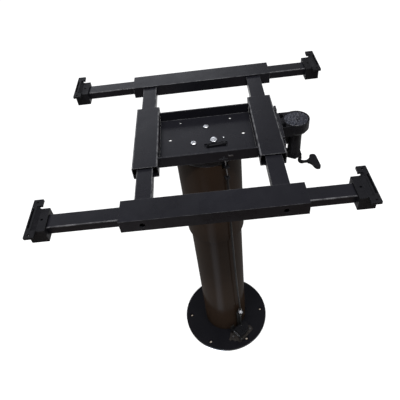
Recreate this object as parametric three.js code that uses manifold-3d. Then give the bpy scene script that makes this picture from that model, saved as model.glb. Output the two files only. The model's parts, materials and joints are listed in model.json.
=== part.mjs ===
// Floor-fixed turntable stand: a telescoping pedestal that carries a swivelling tray, and a frame
// of box-section slides that extends front to back and left to right to hold a work board.
// Units are millimetres, +Z is up. The origin is the centre of the floor flange's underside.

import * as THREE from 'three';
import { mergeVertices } from 'three/addons/utils/BufferGeometryUtils.js';
import Module from 'manifold-3d';

const wasm = await Module();
wasm.setup();

// ---- Driving dimensions ----
const GAP = 0.3; // between faces that touch

const TOP = 770; // top face of the sleeves
const SLEEVE_WIDTH = 51;
const SLEEVE_HEIGHT = 27;
const SLEEVE_WALL = 2;
const RAIL_WIDTH = 32;
const RAIL_HEIGHT = 18;
const RAIL_WALL = 1.5;
const MID_Z = TOP - SLEEVE_HEIGHT / 2; // centre line of every sleeve and rail
const UNDER_Z = TOP - SLEEVE_HEIGHT;

const SIDE_SLEEVE_X = 124; // centre line of a side sleeve
const SIDE_SLEEVE_HALF = 100.5;
const CROSS_SLEEVE_HALF = 164;
const FRONT_Y = -209; // centre line of the front cross sleeve
const REAR_Y = 217.5;

const FRONT_RAIL_ENDS = [-322, 275]; // outer edges of its two end brackets
const REAR_RAIL_ENDS = [-306, 280];

const FLANGE_R = 133;
const FLANGE_THICK = 10;
const FLANGE_HOLES = 6;
const FLANGE_HOLE_CIRCLE = 115;

const LOWER_R = 65;
const UPPER_R = 71.5;
const TUBE_WALL = 4;
const LOWER_TOP = 580;
const UPPER_BOTTOM = 478;
const UPPER_TOP = 727;
const LIFT_PLATE_Z = 706;
const HEAD_TOP = 733;

const TRAY_BOTTOM = TOP - 25;
const TRAY_HALF_Y = 77.5;
const TRAY_SHEET = 3;

const LATCH_PIVOT = [35, -25.5];
const LATCH_ARM = 15; // from the latch's shaft to its nose
const LATCH_NOSE = 3.2;
const LATCH_SWING = THREE.MathUtils.degToRad(9);
const LATCH_NOTCHES = 24;

const CLAMP_X = 187.4; // upright axis of the slide clamp
const CLAMP_Y = 2;

const LEVER_ANGLE = THREE.MathUtils.degToRad(-63.4); // direction of the release lever
const PEDAL_ANGLE = THREE.MathUtils.degToRad(-53); // direction of the pedal's hinge rod
const LEVER_PIVOT_X = -28;
const LEVER_Z = 723;
const WIRE_X = 78.5; // where the lever pulls the wire
const WIRE_R = 1.1;
const FITTING_X = 79; // where the wire runs down to the pedal
const FITTING_Y = -3.3;
const HINGE_Y = -33;
const HINGE_Z = 30;

// ---- Materials ----
const paint = new THREE.MeshStandardMaterial({ color: 0x1b1b1e, roughness: 0.45, metalness: 0.3 });
const glossPaint = new THREE.MeshStandardMaterial({ color: 0x141416, roughness: 0.2, metalness: 0.3 });
const pedalGrey = new THREE.MeshStandardMaterial({ color: 0x2e2d2b, roughness: 0.6, metalness: 0.2 });
const casting = new THREE.MeshStandardMaterial({ color: 0x1e1e21, roughness: 0.6, metalness: 0.2 });
const plastic = new THREE.MeshStandardMaterial({ color: 0x101012, roughness: 0.6, metalness: 0 });
const zinc = new THREE.MeshStandardMaterial({ color: 0xc9ccd0, roughness: 0.3, metalness: 1 });
const steel = new THREE.MeshStandardMaterial({ color: 0x8b8d91, roughness: 0.35, metalness: 1 });
const dialGrey = new THREE.MeshStandardMaterial({ color: 0x4c4e52, roughness: 0.5, metalness: 0.1 });
const cableBlack = new THREE.MeshStandardMaterial({ color: 0x2a2a2c, roughness: 0.5, metalness: 0 });

// ---- Solids ----
function solid(geometry) {
  const bare = geometry.clone();
  bare.deleteAttribute('normal');
  bare.deleteAttribute('uv');
  const merged = mergeVertices(bare, 1e-4);
  const kept = [];
  const index = merged.index.array;
  for (let i = 0; i < index.length; i += 3) {
    const [a, b, c] = [index[i], index[i + 1], index[i + 2]];
    if (a !== b && b !== c && c !== a) kept.push(a, b, c);
  }
  const mesh = new wasm.Mesh({
    numProp: 3,
    vertProperties: new Float32Array(merged.attributes.position.array),
    triVerts: new Uint32Array(kept),
  });
  return new wasm.Manifold(mesh);
}

function join(first, ...others) {
  return others.reduce((whole, piece) => whole.add(piece), first);
}

function cut(first, ...tools) {
  return tools.reduce((rest, tool) => rest.subtract(tool), first);
}

function box([x0, x1], [y0, y1], [z0, z1]) {
  const geometry = new THREE.BoxGeometry(x1 - x0, y1 - y0, z1 - z0);
  geometry.translate((x0 + x1) / 2, (y0 + y1) / 2, (z0 + z1) / 2);
  return solid(geometry);
}

// An upright cylinder, or a cone when topRadius differs.
function post(radius, z0, z1, { x = 0, y = 0, sides = 20, topRadius = radius } = {}) {
  const geometry = new THREE.CylinderGeometry(topRadius, radius, z1 - z0, sides);
  geometry.rotateX(Math.PI / 2);
  geometry.translate(x, y, (z0 + z1) / 2);
  return solid(geometry);
}

function ring(inner, outer, z0, z1, { x = 0, y = 0, sides = 48 } = {}) {
  return cut(post(outer, z0, z1, { x, y, sides }), post(inner, z0 - 1, z1 + 1, { x, y, sides }));
}

// A cylinder that lies along X or along Y.
function barX(radius, x0, x1, y, z, sides = 16) {
  const geometry = new THREE.CylinderGeometry(radius, radius, x1 - x0, sides);
  geometry.rotateZ(Math.PI / 2);
  geometry.translate((x0 + x1) / 2, y, z);
  return solid(geometry);
}

function barY(radius, y0, y1, x, z, sides = 16) {
  const geometry = new THREE.CylinderGeometry(radius, radius, y1 - y0, sides);
  geometry.translate(x, (y0 + y1) / 2, z);
  return solid(geometry);
}

function outline(points) {
  return new THREE.Shape(points.map(([x, y]) => new THREE.Vector2(x, y)));
}

// A flat outline in plan, extruded upwards.
function slab(shape, z0, z1, curveSegments = 6) {
  const options = { depth: z1 - z0, bevelEnabled: false, curveSegments };
  const geometry = new THREE.ExtrudeGeometry(shape, options);
  geometry.translate(0, 0, z0);
  return solid(geometry);
}

function tubeAlong(points, radius, steps, sides) {
  const curve = new THREE.CatmullRomCurve3(points.map((p) => new THREE.Vector3(...p)));
  const section = new THREE.Shape();
  for (let i = 0; i < sides; i += 1) {
    const angle = (2 * Math.PI * i) / sides;
    const corner = [radius * Math.cos(angle), radius * Math.sin(angle)];
    if (i === 0) section.moveTo(...corner);
    else section.lineTo(...corner);
  }
  return solid(new THREE.ExtrudeGeometry(section, { steps, extrudePath: curve, bevelEnabled: false }));
}

const stand = new THREE.Group();

function place(name, shape, material, parent = stand) {
  const mesh = shape.getMesh();
  const geometry = new THREE.BufferGeometry();
  geometry.setAttribute('position', new THREE.BufferAttribute(mesh.vertProperties, 3));
  geometry.setIndex(new THREE.BufferAttribute(mesh.triVerts, 1));
  geometry.computeVertexNormals();
  const part = new THREE.Mesh(geometry, material);
  part.name = name;
  parent.add(part);
  return part;
}

function turnedGroup(angle) {
  const group = new THREE.Group();
  group.rotation.z = angle;
  stand.add(group);
  return group;
}

// ---- Floor flange and lower column ----
function makeBase() {
  const chamfer = 1.5;
  const beadHeight = 3.7;
  const beadWidth = 3.5;
  const holeR = 4;
  const sinkR = 7.5;
  const sinkDepth = 3.5;
  const rim = join(
    post(FLANGE_R, 0, FLANGE_THICK - chamfer, { sides: 60 }),
    post(FLANGE_R, FLANGE_THICK - chamfer, FLANGE_THICK, { sides: 60, topRadius: FLANGE_R - chamfer }),
  );
  const beadInner = LOWER_R + GAP;
  const beadTop = FLANGE_THICK + beadHeight;
  const bead = cut(
    post(beadInner + beadWidth, FLANGE_THICK, beadTop, { sides: 48, topRadius: beadInner + 0.2 }),
    post(beadInner, FLANGE_THICK, beadTop + 1, { sides: 48 }),
  );
  let flange = join(rim, bead);
  for (let i = 0; i < FLANGE_HOLES; i += 1) {
    const angle = (i * 2 * Math.PI) / FLANGE_HOLES;
    const at = {
      x: FLANGE_HOLE_CIRCLE * Math.cos(angle),
      y: FLANGE_HOLE_CIRCLE * Math.sin(angle),
      sides: 16,
    };
    flange = cut(
      flange,
      post(holeR, -1, FLANGE_THICK + 1, at),
      post(holeR, FLANGE_THICK - sinkDepth, FLANGE_THICK + 0.01, { ...at, topRadius: sinkR }),
    );
  }
  place('base_flange', flange, paint);
  place('lower_tube', ring(LOWER_R - TUBE_WALL, LOWER_R, FLANGE_THICK + GAP, LOWER_TOP), glossPaint);
  const guideInner = LOWER_R + GAP;
  const guideOuter = UPPER_R - TUBE_WALL - GAP;
  place('lower_tube_guide', ring(guideInner, guideOuter, LOWER_TOP - 35, LOWER_TOP - 5), plastic);
  place('upper_tube_guide', ring(guideInner, guideOuter, UPPER_BOTTOM + 2, UPPER_BOTTOM + 32), plastic);
}

// ---- Gas spring inside the column ----
function makeGasSpring() {
  const cylinderR = 20;
  const cylinderTop = 330;
  const rodR = 7;
  const capThick = 8;
  const foot = FLANGE_THICK + GAP;
  const cylinder = cut(
    post(cylinderR, foot, cylinderTop, { sides: 24 }),
    post(cylinderR - 3, foot + 6, cylinderTop - capThick, { sides: 24 }),
    post(rodR + 0.4, cylinderTop - capThick - 1, cylinderTop + 1, { sides: 24 }),
  );
  place('gas_spring_cylinder', cylinder, glossPaint);
  const rod = join(
    post(rodR, 200, LIFT_PLATE_Z + 10, { sides: 20 }),
    post(cylinderR - 3.5, 200, 212, { sides: 24 }),
    post(11, LIFT_PLATE_Z - 8, LIFT_PLATE_Z - GAP, { sides: 6 }),
    post(2.5, LIFT_PLATE_Z + 9, LIFT_PLATE_Z + 13.3, { sides: 12 }),
  );
  place('gas_spring_rod', rod, steel);
}

// ---- Upper column, its head and the swivel ----
function makeUpperColumn(leverFrame) {
  const wall = UPPER_R - TUBE_WALL;
  const window = box([wall - 10, UPPER_R + 10], [-7, 7], [LIFT_PLATE_Z + 6.5, UPPER_TOP + 1]);
  place('upper_tube', cut(ring(wall, UPPER_R, UPPER_BOTTOM, UPPER_TOP), window), glossPaint, leverFrame);
  const plate = cut(
    post(wall - GAP, LIFT_PLATE_Z, LIFT_PLATE_Z + 6, { sides: 48 }),
    post(7.3, LIFT_PLATE_Z - 1, LIFT_PLATE_Z + 7, { sides: 20 }),
  );
  place('lift_plate', plate, steel, leverFrame);
  makeHeadRing();
  place('swivel_lower_ring', ring(58, 66, HEAD_TOP + GAP, HEAD_TOP + 8), steel);
  place('swivel_ball_cage', ring(54.6, 57.4, HEAD_TOP + 1, HEAD_TOP + 7.5), plastic);
}

// The notches line up with the latch's nose once it has swung out.
function makeHeadRing() {
  const inner = 50;
  const [px, py] = LATCH_PIVOT;
  const cos = Math.cos(LATCH_SWING);
  const sin = Math.sin(LATCH_SWING);
  const noseOut = Math.hypot(px, py) + LATCH_NOSE * cos + LATCH_ARM * sin;
  const noseAside = LATCH_ARM * cos - LATCH_NOSE * sin;
  const first = THREE.MathUtils.radToDeg(Math.atan2(py, px) + Math.atan2(noseAside, noseOut));
  let head = ring(inner, UPPER_R, UPPER_TOP + GAP, HEAD_TOP);
  for (let i = 0; i < LATCH_NOTCHES; i += 1) {
    const notch = box([inner - 2, inner + 3.5], [-2.5, 2.5], [UPPER_TOP, HEAD_TOP + 1]);
    head = cut(head, notch.rotate([0, 0, first + (i * 360) / LATCH_NOTCHES]));
  }
  place('head_ring', head, paint);
}

// ---- Release lever under the head, pulled by the pedal's wire ----
function makeReleaseLever(leverFrame) {
  const plateTop = LIFT_PLATE_Z + 6 + GAP;
  const pinR = 2.5;
  const half = 5; // half the lever's width
  const bracket = join(
    box([-36, -20], [-11, 11], [plateTop, plateTop + 2.2]),
    box([-34, -22], [-9.5, -6.5], [plateTop + 2, LEVER_Z + 6]),
    box([-34, -22], [6.5, 9.5], [plateTop + 2, LEVER_Z + 6]),
    barY(pinR, -11, 11, LEVER_PIVOT_X, LEVER_Z, 14),
  );
  place('release_bracket', bracket, steel, leverFrame);
  const lever = join(
    box([LEVER_PIVOT_X, WIRE_X + 4], [-half, half], [LEVER_Z - 2, LEVER_Z + 2]),
    barY(half, -half, half, LEVER_PIVOT_X, LEVER_Z, 18),
  );
  const eye = barY(pinR + GAP, -half - 1, half + 1, LEVER_PIVOT_X, LEVER_Z, 14);
  const wireHole = post(WIRE_R + 0.5, LEVER_Z - 5, LEVER_Z + 5, { x: WIRE_X, y: -1.6, sides: 12 });
  place('release_lever', cut(lever, eye, wireHole), casting, leverFrame);
  const seat = 690;
  const wireTop = TRAY_BOTTOM - 1.6;
  const pull = join(
    tubeAlong([[WIRE_X, 0, seat + 8], [WIRE_X, -1.6, LEVER_Z], [WIRE_X, -3, wireTop]], WIRE_R, 10, 10),
    post(2.2, wireTop - 2.2, wireTop, { x: WIRE_X, y: -3, sides: 12 }),
  );
  place('release_pull_wire', pull, steel, leverFrame);
  const clamp = join(
    cut(box([60, 82], [-4.5, 4.5], [seat, seat + 4]), post(UPPER_R + GAP, 0, TOP, { sides: 48 })),
    post(3.8, seat, seat + 7, { x: WIRE_X, sides: 14 }),
  );
  const cableHole = post(2.7, seat - 1, seat + 8, { x: WIRE_X, sides: 12 });
  place('cable_clamp', cut(clamp, cableHole), casting, leverFrame);
}

// ---- Control cable: clamp on the upper tube to the fitting at the pedal ----
const CABLE_ROUTE = [
  [35.2, -70.2, 689.6],
  [35.0, -70.6, 660],
  [34.9, -70.9, 600],
  [35.3, -70.8, 520],
  [36.4, -70.3, 440],
  [38.1, -69.5, 350],
  [40.4, -68.2, 260],
  [42.9, -66.6, 190],
  [44.6, -65.4, 150],
  [44.9, -65.1, 130.4],
];

function makeCable() {
  place('control_cable', tubeAlong(CABLE_ROUTE, 2.25, 40, 8), cableBlack);
}

// ---- Pedal: a hinged plate beside the column that pulls the wire down ----
function makePedal(pedalFrame) {
  const floor = FLANGE_THICK + GAP;
  const sheet = 2.5;
  const hinge = 2; // hinge rod radius
  const foot = outline([
    [68, -40], [80, -56], [90, -53], [103, -42], [113, -36], [113, -24], [107, 22], [92, 24], [73, 6],
  ]);
  const toes = [[86.4, -57.5], [97.2, -47.5], [109.3, -39.2]].map(([x, y]) => join(
    post(3.4, floor, floor + 4, { x, y, sides: 16, topRadius: 2.8 }),
    post(3.6, floor, floor + 4, { x: x - 4.5, y: y + 5, sides: 16, topRadius: 3 }),
    box([x - 5.5, x + 1], [y - 2.5, y + 6.5], [floor, floor + 3.8]),
  ));
  const bracket = join(
    slab(foot, floor, floor + sheet),
    ...toes,
    box([70.5, 74], [-40, 6], [floor, floor + sheet]),
    box([70.5, 73], [-40, -27], [floor, 56]),
    box([110, 113], [-40, -27], [floor, HINGE_Z + 5]),
    box([70.5, 73], [-12, 6], [floor, 115]),
    box([70.5, 86], [-12, 6], [112, 115]),
  );
  const clearOfTube = post(LOWER_R + 4.3, 0, floor + 5, { sides: 48 });
  const rodHole = barX(hinge + GAP, 60, 120, HINGE_Y, HINGE_Z, 14);
  const shelfHole = post(3.3, 100, 120, { x: FITTING_X, y: FITTING_Y, sides: 12 });
  const screws = [[100.2, 14.5], [84, -43]];
  const screwHoles = screws.map(([x, y]) => post(2.3, 0, 20, { x, y, sides: 12 }));
  place('pedal_bracket', cut(bracket, clearOfTube, rodHole, shelfHole, ...screwHoles), pedalGrey, pedalFrame);
  screws.forEach(([x, y], i) => {
    const screw = join(
      post(2, floor, floor + sheet + 1, { x, y, sides: 12 }),
      post(4, floor + sheet + GAP, floor + sheet + 3, { x, y, sides: 14, topRadius: 2.6 }),
    );
    place(`bracket_screw_${i + 1}`, screw, steel, pedalFrame);
  });
  place('pedal_hinge_rod', barX(hinge, 69.5, 115, HINGE_Y, HINGE_Z, 14), zinc, pedalFrame);
  const spring = cut(
    barX(3.7, 79.2, 102.3, HINGE_Y, HINGE_Z, 14),
    barX(2.6, 78, 103, HINGE_Y, HINGE_Z, 14),
  );
  place('pedal_spring', spring, steel, pedalFrame);

  const plate = outline([
    [74.5, -29], [74.5, 7], [80, 18], [88, 18], [101, 7], [106.5, -1.5], [106.5, -29],
  ]);
  const treadZ = [HINGE_Z + 2.8, HINGE_Z + 4.5];
  const tread = [-20, -12, -4].map((y) => box([84, 103], [y - 1.2, y + 1.2], treadZ));
  const knuckles = [[74, 78.6], [102.9, 109]].map(([x0, x1]) => join(
    barX(4, x0, x1, HINGE_Y, HINGE_Z, 16),
    box([x0 + 0.5, x1 - 2.5], [HINGE_Y, -28], [HINGE_Z + 1, HINGE_Z + 3]),
  ));
  const pedal = join(
    slab(plate, HINGE_Z + 0.5, HINGE_Z + 3),
    box([80.5, 87.5], [15.6, 17.6], [HINGE_Z - 7, HINGE_Z + 2]),
    box([104.5, 106.5], [-27, -2], [HINGE_Z - 7, HINGE_Z + 2]),
    ...tread,
    ...knuckles,
  );
  const wireHole = post(2.6, 0, 60, { x: FITTING_X, y: FITTING_Y, sides: 12 });
  place('pedal', cut(pedal, rodHole, wireHole), casting, pedalFrame);

  const at = { x: FITTING_X, y: FITTING_Y };
  const fitting = cut(
    join(
      post(3, 106, 130, { ...at, sides: 14 }),
      post(6.8, 115.3, 121.3, { ...at, sides: 6 }),
      post(4.9, 123, 130, { ...at, sides: 14 }),
      post(5.6, 106.5, 111.7, { ...at, sides: 6 }),
    ),
    post(1.8, 100, 126, { ...at, sides: 10 }),
  );
  place('cable_fitting', fitting, zinc, pedalFrame);
  const wire = join(
    post(0.8, HINGE_Z - 3, 118, { ...at, sides: 8 }),
    post(4, HINGE_Z - 6, HINGE_Z + 0.2, { ...at, sides: 12, topRadius: 1.8 }),
  );
  place('pedal_wire', wire, steel, pedalFrame);
}

// ---- Swivelling tray ----
const TRAY_SCREWS = [[-28, -15, 6.3], [1, 37.6, 6.3], [14.4, -11, 7.2]];

function makeTray() {
  const floorTop = TRAY_BOTTOM + TRAY_SHEET;
  const plateTop = TRAY_BOTTOM - GAP;
  const holes = TRAY_SCREWS.map(([x, y]) => post(3.3, plateTop - 10, floorTop + 1, { x, y, sides: 14 }));
  const disc = join(
    post(UPPER_R, HEAD_TOP + 8.3, plateTop, { sides: 48 }),
    ring(50, 54, HEAD_TOP + 2, HEAD_TOP + 8.5),
    ring(67, UPPER_R, HEAD_TOP + 0.8, HEAD_TOP + 8.5),
  );
  const [latchX, latchY] = LATCH_PIVOT;
  const latchHole = post(3 + GAP, HEAD_TOP, TRAY_BOTTOM, { x: latchX, y: latchY, sides: 16 });
  place('swivel_upper_plate', cut(disc, latchHole, ...holes), paint);

  const half = SIDE_SLEEVE_X - SLEEVE_WIDTH / 2 - GAP;
  const slot = outline([[-6, -36.5], [42, -36.5], [42, -18.5], [30, -18.5], [30, -20.5], [-6, -20.5]]);
  const viewHoles = [[-77, 4.5, 3.6], [78, 3.5, 3.8], [-54.5, 62, 2.8], [55, 61, 3.2]]
    .map(([x, y, radius]) => post(radius, TRAY_BOTTOM - 1, floorTop + 1, { x, y, sides: 16 }));
  const wallY = [-TRAY_HALF_Y - 1, -TRAY_HALF_Y + TRAY_SHEET + 1];
  const tray = cut(
    join(
      box([-half, half], [-TRAY_HALF_Y, TRAY_HALF_Y], [TRAY_BOTTOM, floorTop]),
      box([-half, half], [-TRAY_HALF_Y, -TRAY_HALF_Y + TRAY_SHEET], [TRAY_BOTTOM, TOP]),
      box([-half, half], [TRAY_HALF_Y - TRAY_SHEET, TRAY_HALF_Y], [TRAY_BOTTOM, TOP]),
    ),
    slab(slot, TRAY_BOTTOM - 1, floorTop + 1),
    box([19.5, 37.5], wallY, [750, 752.5]),
    box([28.6, 32.2], wallY, [752, 757]),
    ...holes,
    ...viewHoles,
  );
  place('tray', tray, paint);

  TRAY_SCREWS.forEach(([x, y, radius], i) => {
    const seat = floorTop + GAP;
    const large = radius > 7;
    const washer = post(radius, seat, seat + 1.6, { x, y, sides: 20 });
    const head = large
      ? join(washer, post(5.2, seat + 1.5, seat + 5, { x, y, sides: 6 }))
      : post(radius, seat, seat + 2.8, { x, y, sides: 20, topRadius: radius * 0.7 });
    place(`tray_screw_${i + 1}`, join(head, post(3, TRAY_BOTTOM - 7, seat + 1, { x, y, sides: 14 })), zinc);
  });
  const rivet = post(2.4, floorTop + GAP, floorTop + 2, { x: 35.6, y: -6.2, sides: 14, topRadius: 1.5 });
  place('tray_rivet', rivet, zinc);
  const clipY = -TRAY_HALF_Y - GAP;
  place('latch_spring_clip', box([39.5, 49], [clipY - 1.2, clipY], [757, 759.6]), steel);

  makeLatch();
}

// The latch's shaft passes through the swivel plate. Below it, a pawl swings out into the head ring.
function makeLatch() {
  const [px, py] = LATCH_PIVOT;
  const bar = outline([
    [px, py - 3.4], [px, py + 2.4], [0, py - 1.6], [-2, py - 2.6], [-2, py - 5.4], [0, py - 6.4],
  ]);
  const pawl = outline([
    [-2.5, 0], [-2.5, LATCH_ARM + 2], [LATCH_NOSE, LATCH_ARM + 1.5], [LATCH_NOSE, LATCH_ARM - 1.5],
    [2.5, LATCH_ARM - 3], [2.5, 0],
  ]);
  const outward = THREE.MathUtils.radToDeg(Math.atan2(py, px));
  const lever = join(
    slab(bar, TRAY_BOTTOM + 0.6, TRAY_BOTTOM + 4.7),
    post(4.8, TRAY_BOTTOM + 0.6, TRAY_BOTTOM + 4.7, { x: px, y: py, sides: 18 }),
    post(3.8, TRAY_BOTTOM + 4.5, TRAY_BOTTOM + 6.4, { x: px, y: py, sides: 6 }),
    box([0, 3], [py - 6, py - 2], [TRAY_BOTTOM + 4, TRAY_BOTTOM + 9]),
    post(3, HEAD_TOP - 5, TRAY_BOTTOM + 1, { x: px, y: py, sides: 16 }),
    post(4.4, HEAD_TOP - 5, HEAD_TOP - 1, { x: px, y: py, sides: 16 }),
    slab(pawl, HEAD_TOP - 5, HEAD_TOP - 1).rotate([0, 0, outward]).translate([px, py, 0]),
  );
  place('latch_lever', lever, casting);
}

// ---- Sleeves, rails and their bushes ----
// A rectangular tube along Y, centred on x, between y0 and y1.
function boxTubeY(x, y0, y1, width, height, wall) {
  const hw = width / 2;
  const hh = height / 2;
  return cut(
    box([x - hw, x + hw], [y0, y1], [MID_Z - hh, MID_Z + hh]),
    box([x - hw + wall, x + hw - wall], [y0 - 1, y1 + 1], [MID_Z - hh + wall, MID_Z + hh - wall]),
  );
}

function boxTubeX(y, x0, x1, width, height, wall) {
  const hw = width / 2;
  const hh = height / 2;
  return cut(
    box([x0, x1], [y - hw, y + hw], [MID_Z - hh, MID_Z + hh]),
    box([x0 - 1, x1 + 1], [y - hw + wall, y + hw - wall], [MID_Z - hh + wall, MID_Z + hh - wall]),
  );
}

const BUSH_LENGTH = 25;
const BUSH_WIDTH = SLEEVE_WIDTH - 2 * SLEEVE_WALL - 2 * GAP;
const BUSH_HEIGHT = SLEEVE_HEIGHT - 2 * SLEEVE_WALL - 2 * GAP;
const BUSH_WALL_X = (BUSH_WIDTH - RAIL_WIDTH) / 2 - GAP;
const BUSH_WALL_Z = (BUSH_HEIGHT - RAIL_HEIGHT) / 2 - GAP;

function bushY(x, y0, y1) {
  const hw = BUSH_WIDTH / 2;
  const hh = BUSH_HEIGHT / 2;
  return cut(
    box([x - hw, x + hw], [y0, y1], [MID_Z - hh, MID_Z + hh]),
    box(
      [x - hw + BUSH_WALL_X, x + hw - BUSH_WALL_X],
      [y0 - 1, y1 + 1],
      [MID_Z - hh + BUSH_WALL_Z, MID_Z + hh - BUSH_WALL_Z],
    ),
  );
}

function bushX(y, x0, x1) {
  const hw = BUSH_WIDTH / 2;
  const hh = BUSH_HEIGHT / 2;
  return cut(
    box([x0, x1], [y - hw, y + hw], [MID_Z - hh, MID_Z + hh]),
    box(
      [x0 - 1, x1 + 1],
      [y - hw + BUSH_WALL_X, y + hw - BUSH_WALL_X],
      [MID_Z - hh + BUSH_WALL_Z, MID_Z + hh - BUSH_WALL_Z],
    ),
  );
}

function makeSideSleeves() {
  const recess = 14; // how far a bush sits inside the sleeve's mouth
  for (const [side, sign] of [['left', -1], ['right', 1]]) {
    const x = sign * SIDE_SLEEVE_X;
    let sleeve = boxTubeY(x, -SIDE_SLEEVE_HALF, SIDE_SLEEVE_HALF, SLEEVE_WIDTH, SLEEVE_HEIGHT, SLEEVE_WALL);
    if (sign > 0) sleeve = cut(sleeve, barX(4.6, x + 10, x + 40, CLAMP_Y, MID_Z, 16));
    place(`${side}_side_sleeve`, sleeve, paint);
    const mouth = SIDE_SLEEVE_HALF - recess;
    place(`${side}_front_leg_bush`, bushY(x, -mouth, -mouth + BUSH_LENGTH), plastic);
    place(`${side}_rear_leg_bush`, bushY(x, mouth - BUSH_LENGTH, mouth), plastic);

    const front = FRONT_Y + SLEEVE_WIDTH / 2 + GAP;
    const rear = REAR_Y - SLEEVE_WIDTH / 2 - GAP;
    const inner = [x - RAIL_WIDTH / 2 + 1, x + RAIL_WIDTH / 2 - 1];
    const innerZ = [MID_Z - RAIL_HEIGHT / 2 + 1, MID_Z + RAIL_HEIGHT / 2 - 1];
    const rail = join(
      boxTubeY(x, front, rear, RAIL_WIDTH, RAIL_HEIGHT, RAIL_WALL),
      box(inner, [front, front + 12], innerZ),
      box(inner, [rear - 12, rear], innerZ),
      barY(3, front - 4, front + 1, x, MID_Z, 14),
      barY(5, front - 6.2, front - 3.2, x, MID_Z, 6),
      barY(3, rear - 1, rear + 4, x, MID_Z, 14),
      barY(5, rear + 3.2, rear + 6.2, x, MID_Z, 6),
    );
    const drain = post(2.5, MID_Z - RAIL_HEIGHT, MID_Z, { x, y: front + 24, sides: 10 });
    place(`${side}_leg_rail`, cut(rail, drain), paint);
  }
}

function makeCrossSleeve(name, y, outward) {
  const half = SLEEVE_WIDTH / 2;
  const outerFace = y + outward * half;
  const innerFace = y - outward * half;
  let sleeve = boxTubeX(y, -CROSS_SLEEVE_HALF, CROSS_SLEEVE_HALF, SLEEVE_WIDTH, SLEEVE_HEIGHT, SLEEVE_WALL);
  for (const x of [-SIDE_SLEEVE_X, SIDE_SLEEVE_X]) {
    sleeve = cut(
      sleeve,
      barY(5, Math.min(outerFace, y + outward * 15), Math.max(outerFace, y + outward * 15), x, MID_Z, 18),
      barY(3.4, Math.min(innerFace, y - outward * 15), Math.max(innerFace, y - outward * 15), x, MID_Z, 14),
    );
  }
  place(`${name}_cross_sleeve`, sleeve, paint);
  const mouth = CROSS_SLEEVE_HALF - 2;
  place(`${name}_left_arm_bush`, bushX(y, -mouth, -mouth + BUSH_LENGTH), plastic);
  place(`${name}_right_arm_bush`, bushX(y, mouth - BUSH_LENGTH, mouth), plastic);
}

// ---- Cross rails with their end brackets ----
const BRACKET_LENGTH = 31; // along the rail
const BRACKET_HALF = 27;
const EAR_WIDTH = 18;
const EAR_HALF = 45;
const EAR_TOP = TOP + 6;
const EAR_THICK = 4.5;

// The bracket's outer edge is at x = 0 and its socket opens towards +X.
function endBracket() {
  const corner = 6;
  const plan = new THREE.Shape();
  plan.moveTo(1, -EAR_HALF);
  plan.lineTo(EAR_WIDTH - 1, -EAR_HALF);
  plan.lineTo(EAR_WIDTH, -EAR_HALF + 1);
  plan.lineTo(EAR_WIDTH, -BRACKET_HALF - corner);
  plan.quadraticCurveTo(EAR_WIDTH, -BRACKET_HALF, EAR_WIDTH + corner, -BRACKET_HALF);
  plan.lineTo(EAR_WIDTH + corner, BRACKET_HALF);
  plan.quadraticCurveTo(EAR_WIDTH, BRACKET_HALF, EAR_WIDTH, BRACKET_HALF + corner);
  plan.lineTo(EAR_WIDTH, EAR_HALF - 1);
  plan.lineTo(EAR_WIDTH - 1, EAR_HALF);
  plan.lineTo(1, EAR_HALF);
  plan.lineTo(0, EAR_HALF - 1);
  plan.lineTo(0, -EAR_HALF + 1);
  const wedge = 7; // slope between the ears' level and the block's top
  const slope = new THREE.Shape();
  slope.moveTo(9, EAR_TOP - 1.2);
  slope.lineTo(9 + wedge, TOP);
  slope.lineTo(40, TOP);
  slope.lineTo(40, EAR_TOP + 1);
  slope.lineTo(9, EAR_TOP + 1);
  const slopeCut = new THREE.ExtrudeGeometry(slope, { depth: 2 * BRACKET_HALF + 4, bevelEnabled: false });
  slopeCut.rotateX(Math.PI / 2);
  slopeCut.translate(0, BRACKET_HALF + 2, 0);
  const block = join(
    box([0, BRACKET_LENGTH], [-BRACKET_HALF, BRACKET_HALF], [UNDER_Z - 1.5, TOP]),
    box([0, EAR_WIDTH], [-BRACKET_HALF, BRACKET_HALF], [TOP - 1, EAR_TOP]),
  );
  const socketW = RAIL_WIDTH / 2 + GAP;
  const socketH = RAIL_HEIGHT / 2 + GAP;
  return cut(
    join(slab(plan, EAR_TOP - EAR_THICK, EAR_TOP, 5), block),
    solid(slopeCut),
    box([2.2, 5.6], [-23, 23], [EAR_TOP - 5, EAR_TOP + 1]),
    box([2.7, 40], [-socketW, socketW], [MID_Z - socketH, MID_Z + socketH]),
    post(2.6, 740, 780, { x: 8, y: -38, sides: 14 }),
    post(2.6, 740, 780, { x: 8, y: 38, sides: 14 }),
    post(2.4, MID_Z, 780, { x: 21, y: 0, sides: 14 }),
  );
}

function makeRail(name, y, [leftEnd, rightEnd]) {
  const tube = boxTubeX(y, leftEnd + 3, rightEnd - 3, RAIL_WIDTH, RAIL_HEIGHT, RAIL_WALL);
  place(`${name}_rail`, tube, paint);
  const left = place(`${name}_left_bracket`, endBracket(), casting);
  left.position.set(leftEnd, y, 0);
  const right = place(`${name}_right_bracket`, endBracket(), casting);
  right.position.set(rightEnd, y, 0);
  right.rotation.z = Math.PI;
}

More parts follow.
